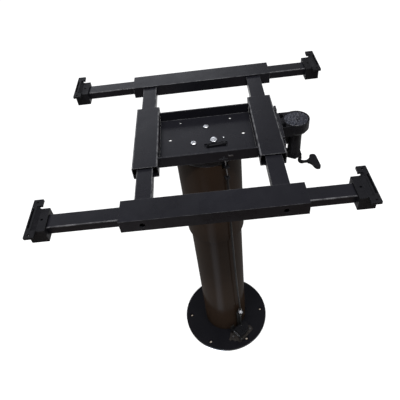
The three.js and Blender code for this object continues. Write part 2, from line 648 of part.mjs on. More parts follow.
// ---- Slide clamp on the right side sleeve ----
function makeClamp() {
  const faceX = SIDE_SLEEVE_X + SLEEVE_WIDTH / 2;
  const plateX = [faceX + GAP, faceX + GAP + 5];
  const rodHole = barX(4.6, faceX - 5, faceX + 60, CLAMP_Y, MID_Z, 16);
  const plate = cut(
    box(plateX, [-66, 58], [TOP - 25, TOP - 1]),
    box(plateX.map((x, i) => x + (i ? 1 : -1)), [-67, -52], [TOP - 7, TOP + 1]),
    box(plateX.map((x, i) => x + (i ? 1 : -1)), [30, 42], [TOP - 6, TOP + 1]),
    rodHole,
  );
  place('clamp_mount_plate', plate, paint);

  const at = { x: CLAMP_X, y: CLAMP_Y };
  const cupR = 27.4;
  const rim = TOP + 0.5;
  const cupBottom = TOP - 26.5;
  const barrelR = 14.2;
  const barrelBottom = TOP - 85;
  const collarBottom = barrelBottom - 11;
  const webX = [plateX[1] + GAP + 0.5, CLAMP_X - barrelR - GAP];
  const pocketX = [plateX[1] + 1.8, CLAMP_X - 23.5];
  const housing = cut(
    join(
      post(cupR - 4.5, cupBottom, cupBottom + 7, { ...at, sides: 36, topRadius: cupR }),
      post(cupR, cupBottom + 7, rim, { ...at, sides: 36 }),
      box([plateX[1] + GAP, CLAMP_X - 8], [CLAMP_Y - 24, CLAMP_Y + 28.5], [cupBottom, rim - 2]),
      box(webX, [CLAMP_Y - 3, CLAMP_Y + 3], [collarBottom + 6, cupBottom + 2]),
    ),
    post(cupR - 2.6, cupBottom + 6, rim + 1, { ...at, sides: 36 }),
    post(5.6, cupBottom - 1, cupBottom + 7, { ...at, sides: 16 }),
    box(pocketX, [CLAMP_Y + 9, CLAMP_Y + 23], [cupBottom + 3, rim]),
    box(pocketX, [CLAMP_Y - 22, CLAMP_Y - 9], [cupBottom + 3, rim]),
    box([webX[0] + 10, webX[1] + 1], [CLAMP_Y - 4, CLAMP_Y + 4], [barrelBottom + 8, barrelBottom + 23]),
    barX(4.5, faceX, CLAMP_X - 10, CLAMP_Y, MID_Z, 16),
    post(18.8, collarBottom - 1, barrelBottom + 1.3, { ...at, sides: 30 }),
    post(barrelR + GAP, barrelBottom, cupBottom, { ...at, sides: 28 }),
  );
  place('clamp_housing', housing, casting);

  const barrel = cut(
    post(barrelR, barrelBottom, cupBottom - GAP, { ...at, sides: 28 }),
    post(6.5, barrelBottom - 1, TOP, { ...at, sides: 18 }),
  );
  place('clamp_barrel', barrel, casting);
  const collarR = 18.8; // across the corners of a six-sided collar
  const collar = cut(
    join(
      post(collarR - 2.2, collarBottom, collarBottom + 2, { ...at, sides: 6, topRadius: collarR }),
      post(collarR, collarBottom + 2, collarBottom + 5, { ...at, sides: 6 }),
      post(collarR, collarBottom + 4.9, barrelBottom - GAP, { ...at, sides: 6, topRadius: barrelR + 2.2 }),
    ),
    post(6.5, collarBottom - 1, barrelBottom + 1, { ...at, sides: 18 }),
  );
  place('clamp_collar', collar, casting);

  const camR = 11;
  const spindle = join(
    post(5, collarBottom - 0.2, TOP - 5.3, { ...at, sides: 18 }),
    post(camR, TOP - 17, TOP - 8.5, { x: CLAMP_X + 1, y: CLAMP_Y, sides: 28 }),
  );
  place('clamp_spindle', spindle, steel);
  const rodEnd = SIDE_SLEEVE_X + RAIL_WIDTH / 2 + 1.3; // stops just short of the leg rail
  place('clamp_rod', barX(4, rodEnd, CLAMP_X + 1 - camR - GAP, CLAMP_Y, MID_Z, 16), steel);
  const dialR = 24.4;
  const dial = join(
    post(dialR, TOP - 5, TOP - 1, { ...at, sides: 40 }),
    post(dialR, TOP - 1, TOP + 2, { ...at, sides: 40, topRadius: dialR - 3.5 }),
    post(dialR - 3.5, TOP + 2, TOP + 3.4, { ...at, sides: 40, topRadius: dialR - 13 }),
  );
  place('clamp_dial', dial, dialGrey);

  const rodZ = TOP - 121;
  const hubTop = collarBottom - 0.5;
  const neckX = CLAMP_X + 14.8;
  const neck = [
    [CLAMP_X + 3, CLAMP_Y, hubTop - 4.6],
    [CLAMP_X + 10, CLAMP_Y, hubTop - 5],
    [neckX, CLAMP_Y, hubTop - 9],
    [neckX + 0.4, CLAMP_Y, rodZ + 5],
    [neckX + 4, CLAMP_Y, rodZ + 0.6],
    [neckX + 9, CLAMP_Y, rodZ],
  ];
  const arm = [[neckX + 5, CLAMP_Y, rodZ], [CLAMP_X + 28, CLAMP_Y, rodZ], [CLAMP_X + 41, CLAMP_Y, rodZ]];
  const wing = new THREE.Shape();
  const wx = CLAMP_X + 36;
  wing.moveTo(wx - 3, CLAMP_Y + 3.5);
  wing.quadraticCurveTo(wx + 4, CLAMP_Y + 6, wx + 4.5, CLAMP_Y + 15);
  wing.quadraticCurveTo(wx + 5.5, CLAMP_Y + 20, wx + 11.5, CLAMP_Y + 20);
  wing.quadraticCurveTo(wx + 18, CLAMP_Y + 20, wx + 19.5, CLAMP_Y + 13);
  wing.lineTo(wx + 22, CLAMP_Y - 20);
  wing.quadraticCurveTo(wx + 22, CLAMP_Y - 27, wx + 16, CLAMP_Y - 27);
  wing.quadraticCurveTo(wx + 11, CLAMP_Y - 27, wx + 8, CLAMP_Y - 20);
  wing.quadraticCurveTo(wx + 5, CLAMP_Y - 7, wx - 3, CLAMP_Y - 4);
  const crank = join(
    post(9, hubTop - 5, hubTop, { ...at, sides: 20 }),
    tubeAlong(neck, 4.2, 22, 12),
    tubeAlong(arm, 3.5, 6, 12),
    slab(wing, rodZ - 3.5, rodZ + 3.5, 5),
  );
  place('clamp_crank', crank, casting);
}

// ---- Assembly ----
const leverFrame = turnedGroup(LEVER_ANGLE);
const pedalFrame = turnedGroup(PEDAL_ANGLE);
makeBase();
makeGasSpring();
makeUpperColumn(leverFrame);
makeReleaseLever(leverFrame);
makeCable();
makePedal(pedalFrame);
makeTray();
makeSideSleeves();
makeCrossSleeve('front', FRONT_Y, -1);
makeCrossSleeve('rear', REAR_Y, 1);
makeRail('front', FRONT_Y, FRONT_RAIL_ENDS);
makeRail('rear', REAR_Y, REAR_RAIL_ENDS);
makeClamp();

export default stand;
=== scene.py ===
# Looks for the floor-fixed turntable stand.
# Metres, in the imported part's frame: +Z up, origin under the flange.

import json
import math

import bmesh
import bpy
from mathutils import Matrix, Vector
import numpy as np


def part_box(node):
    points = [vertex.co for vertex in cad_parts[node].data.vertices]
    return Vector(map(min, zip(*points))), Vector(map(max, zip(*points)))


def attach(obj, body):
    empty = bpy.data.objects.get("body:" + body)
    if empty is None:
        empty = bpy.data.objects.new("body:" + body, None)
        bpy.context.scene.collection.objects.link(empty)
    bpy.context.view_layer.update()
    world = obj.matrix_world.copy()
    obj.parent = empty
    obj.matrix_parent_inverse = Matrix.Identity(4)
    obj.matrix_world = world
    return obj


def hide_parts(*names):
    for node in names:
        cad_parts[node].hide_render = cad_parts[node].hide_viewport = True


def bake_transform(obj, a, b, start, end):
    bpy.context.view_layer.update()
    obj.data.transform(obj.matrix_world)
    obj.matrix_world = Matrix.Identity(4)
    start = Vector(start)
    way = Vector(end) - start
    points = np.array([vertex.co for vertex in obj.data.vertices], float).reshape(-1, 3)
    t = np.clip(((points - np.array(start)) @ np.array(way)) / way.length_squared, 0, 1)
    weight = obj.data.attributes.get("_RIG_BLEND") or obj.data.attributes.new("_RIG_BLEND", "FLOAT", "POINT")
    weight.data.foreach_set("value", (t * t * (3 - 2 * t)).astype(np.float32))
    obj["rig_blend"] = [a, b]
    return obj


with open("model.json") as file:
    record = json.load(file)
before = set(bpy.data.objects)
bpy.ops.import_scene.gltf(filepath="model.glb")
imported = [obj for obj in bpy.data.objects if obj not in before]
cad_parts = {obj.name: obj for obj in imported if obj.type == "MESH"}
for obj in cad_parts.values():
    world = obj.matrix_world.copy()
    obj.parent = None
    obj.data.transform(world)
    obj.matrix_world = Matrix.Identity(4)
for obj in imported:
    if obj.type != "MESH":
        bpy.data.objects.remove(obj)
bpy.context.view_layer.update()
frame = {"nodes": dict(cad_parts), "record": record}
MM = 0.001
RIM = "rim"  # face attribute, 1 on the faces that round an edge

# The Mix node's colour sockets share their names with its number sockets, so they go by position.
MIX_A = 6
MIX_B = 7
MIX_RESULT = 2

TUBE_WALL = 4 * MM
UPPER_TUBE_RADIUS = 71.5 * MM
LEVER_BEARING = math.radians(-63.4)  # of the release lever's window in the upper tube
PEDAL_BEARING = math.radians(-53)  # of the pedal's hinge rod
# Light grey for rounded edges: rubbed paint and a painted highlight together.
RUBBED_AND_HIGHLIT_PAINT = (0.09, 0.09, 0.095)


# ---- Materials ----
def new_material(name):
    material = bpy.data.materials.new(name)
    material.use_nodes = True
    nodes = material.node_tree.nodes
    nodes.clear()
    out = nodes.new("ShaderNodeOutputMaterial")
    shader = nodes.new("ShaderNodeBsdfPrincipled")
    material.node_tree.links.new(shader.outputs["BSDF"], out.inputs["Surface"])
    return material, shader


class Graph:
    """Short names for the nodes that the materials share."""

    def __init__(self, material):
        self.nodes = material.node_tree.nodes
        self.links = material.node_tree.links
        self.place = self.nodes.new("ShaderNodeTexCoord").outputs["Object"]

    def link(self, a, b):
        self.links.new(a, b)

    def stretched(self, x, y, z):
        mapping = self.nodes.new("ShaderNodeMapping")
        mapping.inputs["Scale"].default_value = (x, y, z)
        self.link(self.place, mapping.inputs["Vector"])
        return mapping.outputs["Vector"]

    def noise(self, scale, detail=3.0, rough=0.5, place=None):
        node = self.nodes.new("ShaderNodeTexNoise")
        node.inputs["Scale"].default_value = scale
        node.inputs["Detail"].default_value = detail
        node.inputs["Roughness"].default_value = rough
        self.link(place or self.place, node.inputs["Vector"])
        return node.outputs["Fac"]

    def cells(self, scale, feature="F1"):
        node = self.nodes.new("ShaderNodeTexVoronoi")
        node.feature = feature
        node.inputs["Scale"].default_value = scale
        self.link(self.place, node.inputs["Vector"])
        return node.outputs["Distance"]

    def ranged(self, value, a, b, low, high):
        """Maps a..b to low..high, clamped."""
        node = self.nodes.new("ShaderNodeMapRange")
        node.inputs["From Min"].default_value = a
        node.inputs["From Max"].default_value = b
        node.inputs["To Min"].default_value = low
        node.inputs["To Max"].default_value = high
        self.link(value, node.inputs["Value"])
        return node.outputs["Result"]

    def maths(self, operation, a, b):
        node = self.nodes.new("ShaderNodeMath")
        node.operation = operation
        for socket, value in zip(node.inputs, (a, b)):
            if isinstance(value, (int, float)):
                socket.default_value = value
            else:
                self.link(value, socket)
        return node.outputs["Value"]

    def mixed(self, factor, a, b):
        """a where the factor is 0 and b where it is 1: each a colour or another node's output."""
        node = self.nodes.new("ShaderNodeMix")
        node.data_type = "RGBA"
        self.link(factor, node.inputs["Factor"])
        for position, value in ((MIX_A, a), (MIX_B, b)):
            if isinstance(value, tuple):
                node.inputs[position].default_value = (*value, 1)
            else:
                self.link(value, node.inputs[position])
        return node.outputs[MIX_RESULT]

    def along(self, axis, vector=None):
        """One coordinate of a vector, or of the place on the object."""
        split = self.nodes.new("ShaderNodeSeparateXYZ")
        self.link(vector or self.place, split.inputs["Vector"])
        return split.outputs[axis]

    def edges(self):
        """1 on the faces that round an edge, broken up by noise."""
        rim = self.nodes.new("ShaderNodeAttribute")
        rim.attribute_name = RIM
        patchy = self.ranged(self.noise(60, 4), 0.38, 0.6, 0.25, 1)
        return self.maths("MULTIPLY", rim.outputs["Fac"], patchy)

    def shade_in_hollows(self, low, high):
        """1 in inside corners, where painted shade goes."""
        point = self.nodes.new("ShaderNodeNewGeometry").outputs["Pointiness"]
        return self.ranged(point, low, high, 1, 0)

    def dust(self):
        """1 on faces that look up, broken up by noise."""
        normal = self.nodes.new("ShaderNodeNewGeometry").outputs["Normal"]
        up = self.ranged(self.along("Z", normal), 0.6, 0.95, 0, 1)
        patchy = self.ranged(self.noise(55, 6, 0.7), 0.35, 0.75, 0.45, 1)
        return self.maths("MULTIPLY", up, patchy)

    def bump(self, shader, *layers):
        """Each layer is (height, distance in metres, strength)."""
        last = None
        for height, distance, strength in layers:
            node = self.nodes.new("ShaderNodeBump")
            node.inputs["Distance"].default_value = distance
            node.inputs["Strength"].default_value = strength
            self.link(height, node.inputs["Height"])
            if last:
                self.link(last, node.inputs["Normal"])
            last = node.outputs["Normal"]
        self.link(last, shader.inputs["Normal"])


def dusty_shade(colour):
    """The same paint under a thin grey film."""
    return tuple(c * 1.8 + 0.006 for c in colour)


def paint(name, dark, light, rough, specular, dusty, grain=1.0, coat=0.0, edge_wear_and_highlight=0.3):
    """Powder coat or enamel: fine orange peel, faint mottling, dust on top faces, and edges lightened both
    as rubbed paint and as a painted highlight.
    """
    material, shader = new_material(name)
    g = Graph(material)
    mottle = g.ranged(g.noise(9, 4), 0.3, 0.7, 0, 1)
    base = g.mixed(mottle, dark, light)
    dust = g.maths("MULTIPLY", g.dust(), dusty)
    colour = g.mixed(dust, base, dusty_shade(light))
    if edge_wear_and_highlight:
        # Rounded edges turn lighter grey: partly rubbed paint, partly a painted highlight along the edges.
        colour = g.mixed(g.maths("MULTIPLY", g.edges(), edge_wear_and_highlight), colour, RUBBED_AND_HIGHLIT_PAINT)
    g.link(colour, shader.inputs["Base Color"])
    shader.inputs["Specular IOR Level"].default_value = specular
    smudge = g.ranged(g.noise(28, 5, 0.6), 0.3, 0.7, rough - 0.06, rough + 0.07)
    g.link(smudge, shader.inputs["Roughness"])
    shader.inputs["Coat Weight"].default_value = coat
    shader.inputs["Coat Roughness"].default_value = 0.16
    fine_peel = (g.noise(900, 2), 0.08 * MM * grain, 0.5)
    broad_peel = (g.noise(260, 2), 0.2 * MM * grain, 0.35)
    g.bump(shader, fine_peel, broad_peel)
    return material


def cast_paint(name, dark, light, rough, specular, edge_wear_and_highlight=0.3, bare_and_highlit=(0.08, 0.08, 0.085), scuffed=False):
    """Thin paint over a sand casting: lumps, pits, and edges lightened both as rubbed paint and as a painted
    highlight. Scuffed wears through at the foot.
    """
    scuff_low = 17 * MM
    scuff_high = 26 * MM
    material, shader = new_material(name)
    g = Graph(material)
    shader.inputs["Specular IOR Level"].default_value = specular
    pits = g.cells(520)
    lumps = g.noise(170, 5, 0.65)
    base = g.mixed(g.ranged(lumps, 0.35, 0.68, 0, 1), dark, light)
    dust = g.maths("MULTIPLY", g.dust(), 0.12)
    dusted = g.mixed(dust, base, dusty_shade(light))
    # Rounded edges lightened towards the bare colour: wear and a painted highlight.
    rubbed_and_highlit = g.mixed(g.maths("MULTIPLY", g.edges(), edge_wear_and_highlight), dusted, bare_and_highlit)
    if scuffed:
        foot = g.ranged(g.along("Z"), scuff_low, scuff_high, 1, 0)
        scuff = g.maths("MULTIPLY", foot, g.ranged(g.noise(120, 4), 0.35, 0.6, 0.3, 1))
        rubbed_and_highlit = g.mixed(scuff, rubbed_and_highlit, bare_and_highlit)
    g.link(rubbed_and_highlit, shader.inputs["Base Color"])
    g.link(g.ranged(g.noise(60, 4), 0.3, 0.7, rough - 0.08, rough + 0.1), shader.inputs["Roughness"])
    g.bump(shader, (lumps, 0.9 * MM, 0.55), (pits, 0.4 * MM, 0.4), (g.noise(1400, 2), 0.1 * MM, 0.5))
    return material


def bright_metal(name, colour, rough, grain=(1, 1, 1)):
    """Plated or turned metal: streaks along the grain, light stains and painted shade in the inside corners.
    """
    material, shader = new_material(name)
    g = Graph(material)
    shader.inputs["Metallic"].default_value = 1.0
    streaks = g.noise(320, 4, 0.6, g.stretched(*grain))
    stain = g.ranged(g.noise(70, 4), 0.3, 0.7, 0, 1)
    plated = g.mixed(stain, tuple(c * 0.82 for c in colour), colour)
    # Inside corners, such as the screws' recesses, darkened: painted shade.
    shaded_in_hollows = g.mixed(g.shade_in_hollows(0.38, 0.47), plated, (0.02, 0.02, 0.022))
    g.link(shaded_in_hollows, shader.inputs["Base Color"])
    g.link(g.ranged(streaks, 0.3, 0.7, rough - 0.07, rough + 0.1), shader.inputs["Roughness"])
    g.bump(shader, (streaks, 0.12 * MM, 0.35))
    return material


def moulded(name, dark, light, rough, pebble, depth):
    """Moulded plastic with a pebble grain, its colour lighter at each pebble's centre; where the light
    colour is far paler than the dark, as on the dial, these spots are painted highlight specks.
    """
    material, shader = new_material(name)
    g = Graph(material)
    grain = g.cells(pebble, "SMOOTH_F1")
    # Lighter colour at the pebbles' centres; on the dial these spots are painted highlights.
    g.link(g.mixed(g.ranged(grain, 0.1, 0.7, 0, 1), light, dark), shader.inputs["Base Color"])
    g.link(g.ranged(g.noise(80, 3), 0.3, 0.7, rough - 0.06, rough + 0.08), shader.inputs["Roughness"])
    shader.inputs["Specular IOR Level"].default_value = 0.3
    g.bump(shader, (grain, depth, 0.7), (g.noise(1200, 2), 0.08 * MM, 0.4))
    return material


def sheath(name):
    """Cable sheath: nearly matt black with faint lengthwise streaks."""
    material, shader = new_material(name)
    g = Graph(material)
    streaks = g.noise(500, 3, 0.5, g.stretched(1, 1, 0.03))
    base = g.mixed(g.ranged(streaks, 0.35, 0.65, 0, 1), (0.003, 0.0026, 0.0025), (0.006, 0.0055, 0.0055))
    g.link(base, shader.inputs["Base Color"])
    g.link(g.ranged(g.noise(60, 3), 0.3, 0.7, 0.3, 0.42), shader.inputs["Roughness"])
    shader.inputs["Specular IOR Level"].default_value = 0.04
    g.bump(shader, (streaks, 0.1 * MM, 0.4))
    return material


MAT = {
    "frame_paint": paint(
        "powder_coat",
        dark=(0.0046, 0.0046, 0.0062),
        light=(0.0058, 0.0058, 0.0080),
        rough=0.30,
        specular=0.10,
        dusty=0.2,
        # Strong edge lightening: a painted highlight on the tubes' rounded corners, with some wear.
        edge_wear_and_highlight=0.75,
    ),
    "flange_paint": paint(
        "flange_coat",
        dark=(0.0042, 0.0042, 0.0054),
        light=(0.0054, 0.0054, 0.0070),
        rough=0.34,
        specular=0.05,
        dusty=0.03,
    ),
    # Column: dark enamel whose warm brown tint is a painted reflection of a brown floor.
    "column_paint": paint(
        "column_enamel_painted_brown_reflection",
        dark=(0.015, 0.0096, 0.0066),
        light=(0.020, 0.0128, 0.0088),
        rough=0.30,
        specular=0.0,
        dusty=0.15,
        grain=0.5,
        coat=0.07,
        edge_wear_and_highlight=0,
    ),
    "casting_paint": cast_paint(
        "cast_paint",
        dark=(0.0036, 0.0036, 0.0046),
        light=(0.0056, 0.0056, 0.0068),
        rough=0.48,
        specular=0.06,
    ),
    "pedal_casting": cast_paint(
        "worn_casting",
        dark=(0.0040, 0.0038, 0.0036),
        light=(0.0075, 0.0070, 0.0066),
        rough=0.45,
        specular=0.10,
        # Lightened pedal and bracket edges: a painted highlight with wear.
        edge_wear_and_highlight=0.6,
        bare_and_highlit=(0.024, 0.021, 0.019),
        scuffed=True,
    ),
    "guide_plastic": moulded(
        "bush_plastic",
        dark=(0.004, 0.004, 0.004),
        light=(0.008, 0.008, 0.008),
        rough=0.55,
        pebble=900,
        depth=0.1 * MM,
    ),
    "zinc": bright_metal("zinc_plate", (0.62, 0.63, 0.66), rough=0.30),
    "steel": bright_metal("turned_steel", (0.10, 0.10, 0.105), rough=0.38, grain=(1, 1, 14)),
    # The dial's light colour is far paler than its dark: its pale spots are painted highlight specks.
    "dial": moulded(
        "dial_plastic",
        dark=(0.002, 0.002, 0.004),
        light=(0.024, 0.026, 0.036),
        rough=0.26,
        pebble=230,
        depth=3 * MM,
    ),
    "cable": sheath("cable_sheath"),
}
SLOT_OF = {s["node"]: s["material_slot"] for s in frame["record"]["subparts"]}
BODY_OF = {n: b for b, nodes in frame["record"]["behaviour"]["bodies"].items() for n in nodes}


# ---- Pieces ----
def apply_modifiers(piece):
    """Swaps the piece's mesh for what its modifiers make of it."""
    graph = bpy.context.evaluated_depsgraph_get()
    mesh = bpy.data.meshes.new_from_object(piece.evaluated_get(graph), depsgraph=graph)
    piece.modifiers.clear()
    piece.data = mesh


def dress(piece, slot, body, *nodes):
    """Gives the piece its material and the body it rides on, and hides the CAD nodes it stands for."""
    piece.data.materials.clear()
    piece.data.materials.append(MAT[slot])
    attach(piece, body)
    if nodes:
        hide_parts(*nodes)
    return piece


def piece_from(bm, name):
    """A new object from a bmesh, which is freed."""
    bmesh.ops.recalc_face_normals(bm, faces=bm.faces)
    mesh = bpy.data.meshes.new(name)
    bm.to_mesh(mesh)
    bm.free()
    piece = bpy.data.objects.new(name, mesh)
    bpy.context.scene.collection.objects.link(piece)
    return piece


def shade(piece, angle=32):
    piece.data.shade_smooth()
    piece.data.set_sharp_from_angle(angle=math.radians(angle))


def soften(piece, width, segments=2, angle=32, weighted=False):
    """Rounds the sharp edges, or those that carry a bevel weight, and marks the faces that round them."""
    rim_slot = 1
    for _ in range(rim_slot + 1):
        piece.data.materials.append(MAT["frame_paint"])
    bevel = piece.modifiers.new("edges", "BEVEL")
    bevel.width = width
    bevel.segments = segments
    bevel.limit_method = "WEIGHT" if weighted else "ANGLE"
    bevel.angle_limit = math.radians(angle)
    bevel.use_clamp_overlap = True
    bevel.miter_outer = "MITER_ARC"
    bevel.material = rim_slot
    piece.data.shade_smooth()
    normals = piece.modifiers.new("normals", "WEIGHTED_NORMAL")
    normals.keep_sharp = True
    apply_modifiers(piece)
    rim = piece.data.attributes.new(RIM, "FLOAT", "FACE")
    for face in piece.data.polygons:
        rim.data[face.index].value = face.material_index / rim_slot
        face.material_index = 0


def cad_mesh(node):
    """The CAD node's shape with its flat faces whole again."""
    bm = bmesh.new()
    bm.from_mesh(frame["nodes"][node].data)
    bmesh.ops.remove_doubles(bm, verts=bm.verts, dist=2e-6)
    bmesh.ops.dissolve_limit(bm, angle_limit=math.radians(0.6), verts=bm.verts, edges=bm.edges)
    return bm


def softened(node, width, segments=2, angle=32):
    """The CAD node's own shape with its edges rounded."""
    piece = piece_from(cad_mesh(node), "look_" + node)
    soften(piece, width, segments, angle)
    return dress(piece, SLOT_OF[node], BODY_OF[node], node)


def bevel_weights(bm):
    """The edge layer that a weighted bevel reads."""
    layers = bm.edges.layers.float
    return layers.get("bevel_weight_edge") or layers.new("bevel_weight_edge")


def sharp_edges(bm, angle):
    """The edges whose two faces meet at no less than this many degrees."""
    least = math.radians(angle)
    return [e for e in bm.edges if len(e.link_faces) == 2 and e.calc_face_angle(0) >= least]


def tube_look(node, axis, corner):
    """A rolled rectangular tube: long corners get their own radius, cut ends a small one."""
    end_radius = 0.5 * MM
    touch = 0.1 * MM
    bm = cad_mesh(node)
    weights = bevel_weights(bm)
    low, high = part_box(node)
    least_run = 0.2 * (high - low)[axis]
    across = [i for i in range(3) if i != axis]
    for edge in sharp_edges(bm, 32):
        start, end = (v.co for v in edge.verts)
        long = abs(end[axis] - start[axis]) > least_run
        outside = all(min(abs(start[i] - low[i]), abs(start[i] - high[i])) < touch for i in across)
        edge[weights] = 1.0 if long and outside else end_radius / corner
    piece = piece_from(bm, "look_" + node)
    soften(piece, corner, 4, weighted=True)
    return dress(piece, SLOT_OF[node], BODY_OF[node], node)


def tray_look():
    """Folded sheet: the two bends and the walls' lips are round, every other edge is only broken."""
    bend = 2.6 * MM
    lip = 1.3 * MM
    broken = 0.25 * MM
    sheet = 3.1 * MM  # a little over the thickness
    bm = cad_mesh("tray")
    weights = bevel_weights(bm)
    low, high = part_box("tray")
    for edge in sharp_edges(bm, 28):
        start, end = (v.co for v in edge.verts)
        long = abs(end.x - start.x) > 60 * MM
        near_wall = min(abs(start.y - low.y), abs(start.y - high.y)) < sheet
        if long and near_wall and start.z < low.z + sheet:
            radius = bend
        elif long and start.z > high.z - 0.1 * MM:
            radius = lip
        else:
            radius = broken
        edge[weights] = radius / bend
    piece = piece_from(bm, "look_tray")
    soften(piece, bend, 4, weighted=True)
    return dress(piece, "frame_paint", "turntable", "tray")


def lathe(profile, steps, closed=True):
    """Turns (radius, height) points round Z. A closed profile gives a ring or a tube."""
    bm = bmesh.new()
    loops = []
    for i in range(steps):
        turn = 2 * math.pi * i / steps
        loops.append([bm.verts.new((r * math.cos(turn), r * math.sin(turn), z)) for r, z in profile])
    spans = len(profile) if closed else len(profile) - 1
    for i in range(steps):
        a, b = loops[i], loops[(i + 1) % steps]
        for j in range(spans):
            k = (j + 1) % len(profile)
            bm.faces.new((a[j], b[j], b[k], a[k]))
    bmesh.ops.remove_doubles(bm, verts=bm.verts, dist=1e-7)
    return bm


def smooth_path(points, steps):
    """A Catmull-Rom curve through the points."""
    pts = [Vector(p) for p in points]
    ends = [2 * pts[0] - pts[1], *pts, 2 * pts[-1] - pts[-2]]
    path = []
    for i in range(len(pts) - 1):
        a, b, c, d = ends[i : i + 4]
        for s in range(steps):
            t = s / steps
            linear = (c - a) * t
            square = (2 * a - 5 * b + 4 * c - d) * t**2
            cube = (3 * b - a - 3 * c + d) * t**3
            path.append(0.5 * (2 * b + linear + square + cube))
    path.append(pts[-1])
    return path


def swept(points, radius, sides, steps):
    """A round tube along a smooth curve. radius may be a function of the distance along, from 0 to 1."""
    path = smooth_path(points, steps)
    last = len(path) - 1
    bm = bmesh.new()
    side = None
    rings = []
    for i, p in enumerate(path):
        ahead = (path[min(i + 1, last)] - path[max(i - 1, 0)]).normalized()
        if side is None:
            side = ahead.orthogonal().normalized()
        side = (side - ahead * side.dot(ahead)).normalized()
        other = ahead.cross(side)
        r = radius(i / last) if callable(radius) else radius
        ring = []
        for k in range(sides):
            turn = 2 * math.pi * k / sides
            ring.append(bm.verts.new(p + r * (math.cos(turn) * side + math.sin(turn) * other)))
        rings.append(ring)
    for a, b in zip(rings, rings[1:]):
        for k in range(sides):
            bm.faces.new((a[k], a[(k + 1) % sides], b[(k + 1) % sides], b[k]))
    bm.faces.new(rings[0][::-1])
    bm.faces.new(rings[-1])
    return bm


def cut(piece, tool, operation="DIFFERENCE"):
    """Boolean with a tool piece, which is used up."""
    modifier = piece.modifiers.new("cut", "BOOLEAN")
    modifier.operation = operation
    modifier.object = tool
    modifier.solver = "EXACT"
    apply_modifiers(piece)
    bpy.data.objects.remove(tool)
    return piece


def block(low, high):
    """A box that cuts other pieces."""
    bm = bmesh.new()
    bmesh.ops.create_cube(bm, size=1)
    low, high = Vector(low), Vector(high)
    for v in bm.verts:
        v.co = Vector((low[i] + (v.co[i] + 0.5) * (high - low)[i] for i in range(3)))
    return piece_from(bm, "tool")


def middle(node):
    """Centre and size of a CAD node's box."""
    low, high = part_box(node)
    return (low + high) / 2, high - low


# ---- Column: extra rings near the rims keep the tubes' shading even ----
def column():
    rim = 0.8 * MM
    low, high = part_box("lower_tube")
    outer = (high - low).x / 2
    inner = outer - TUBE_WALL
    profile = [
        (inner, low.z), (outer, low.z), (outer, low.z + 4 * MM), (outer, high.z - 3 * rim),
        (outer, high.z - rim), (outer - rim, high.z), (inner + rim, high.z), (inner, high.z - rim),
    ]
    piece = piece_from(lathe(profile, 160), "look_lower_tube")
    shade(piece, 50)
    dress(piece, "column_paint", "pedestal", "lower_tube")

    low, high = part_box("upper_tube")
    outer = UPPER_TUBE_RADIUS
    inner = outer - TUBE_WALL
    profile = [
        (inner + rim, low.z), (outer - rim, low.z), (outer, low.z + rim), (outer, low.z + 3 * rim),
        (outer, high.z - 2 * rim), (outer, high.z - rim / 2), (outer - rim / 2, high.z), (inner, high.z),
        (inner, low.z + rim),
    ]
    piece = piece_from(lathe(profile, 160), "look_upper_tube")
    window_half = 7 * MM
    window_bottom = 712.5 * MM
    window_top = 740 * MM
    window = block((57 * MM, -window_half, window_bottom), (82 * MM, window_half, window_top))
    window.data.transform(Matrix.Rotation(LEVER_BEARING, 4, "Z"))
    cut(piece, window)
    shade(piece, 50)
    dress(piece, "column_paint", "upper_column", "upper_tube")


# ---- Screws ----
def head_profile(radius, height, dome):
    """A pan head from its rim to its crown, as (radius, height)."""
    skirt = 0.35
    steps = 7
    points = [(0, 0), (radius, 0), (radius, height * skirt)]
    for i in range(1, steps + 1):
        turn = i / steps * math.pi / 2
        across = radius * (1 - dome + dome * math.cos(turn))
        points.append((across, height * (skirt + (1 - skirt) * math.sin(turn))))
    points.append((0, height))
    return points


def cross_recess(reach, depth, top):
    """Two crossing bars that cut a driver's recess from above."""
    half = reach * 0.2
    above = top + 1 * MM
    return [
        block((-reach, -half, top - depth), (reach, half, above)),
        block((-half, -reach, top - depth), (half, reach, above)),
    ]


def pan_head(node, radius, height):
    """A domed, cross-cut head."""
    piece = piece_from(lathe(head_profile(radius, height, 0.55), 48, closed=False), "look_" + node)
    for arm in cross_recess(radius * 0.52, 1.5 * MM, height):
        cut(piece, arm)
    shade(piece, 38)
    return piece


def hexagon_head(node, radius):
    """A washer under a hexagon with a rounded crown and a cross recess."""
    thick = 1.6 * MM
    crown_top = thick + 3.3 * MM
    hexagon_radius = 5.2 * MM
    hexagon_height = 3.4 * MM
    washer_profile = [
        (0, 0), (radius - 0.3 * MM, 0), (radius, 0.3 * MM), (radius, thick - 0.5 * MM),
        (radius - 0.5 * MM, thick), (0, thick),
    ]
    washer = piece_from(lathe(washer_profile, 48, closed=False), "washer_" + node)
    bm = bmesh.new()
    bmesh.ops.create_cone(
        bm, cap_ends=True, segments=6, radius1=hexagon_radius, radius2=hexagon_radius, depth=hexagon_height
    )
    bmesh.ops.translate(bm, verts=bm.verts, vec=(0, 0, crown_top - hexagon_height / 2))
    hexagon = piece_from(bm, "hexagon")
    crown_profile = [
        (0, 0), (4.6 * MM, 0), (5.6 * MM, crown_top - 0.7 * MM), (4.2 * MM, crown_top), (0, crown_top),
    ]
    crown = piece_from(lathe(crown_profile, 40, closed=False), "crown")
    cut(hexagon, crown, "INTERSECT")
    for arm in cross_recess(2.9 * MM, 1.6 * MM, crown_top):
        cut(hexagon, arm)
    soften(hexagon, 0.25 * MM, 2)
    soften(washer, 0.2 * MM, 2)
    return joined([washer, hexagon], "look_" + node)


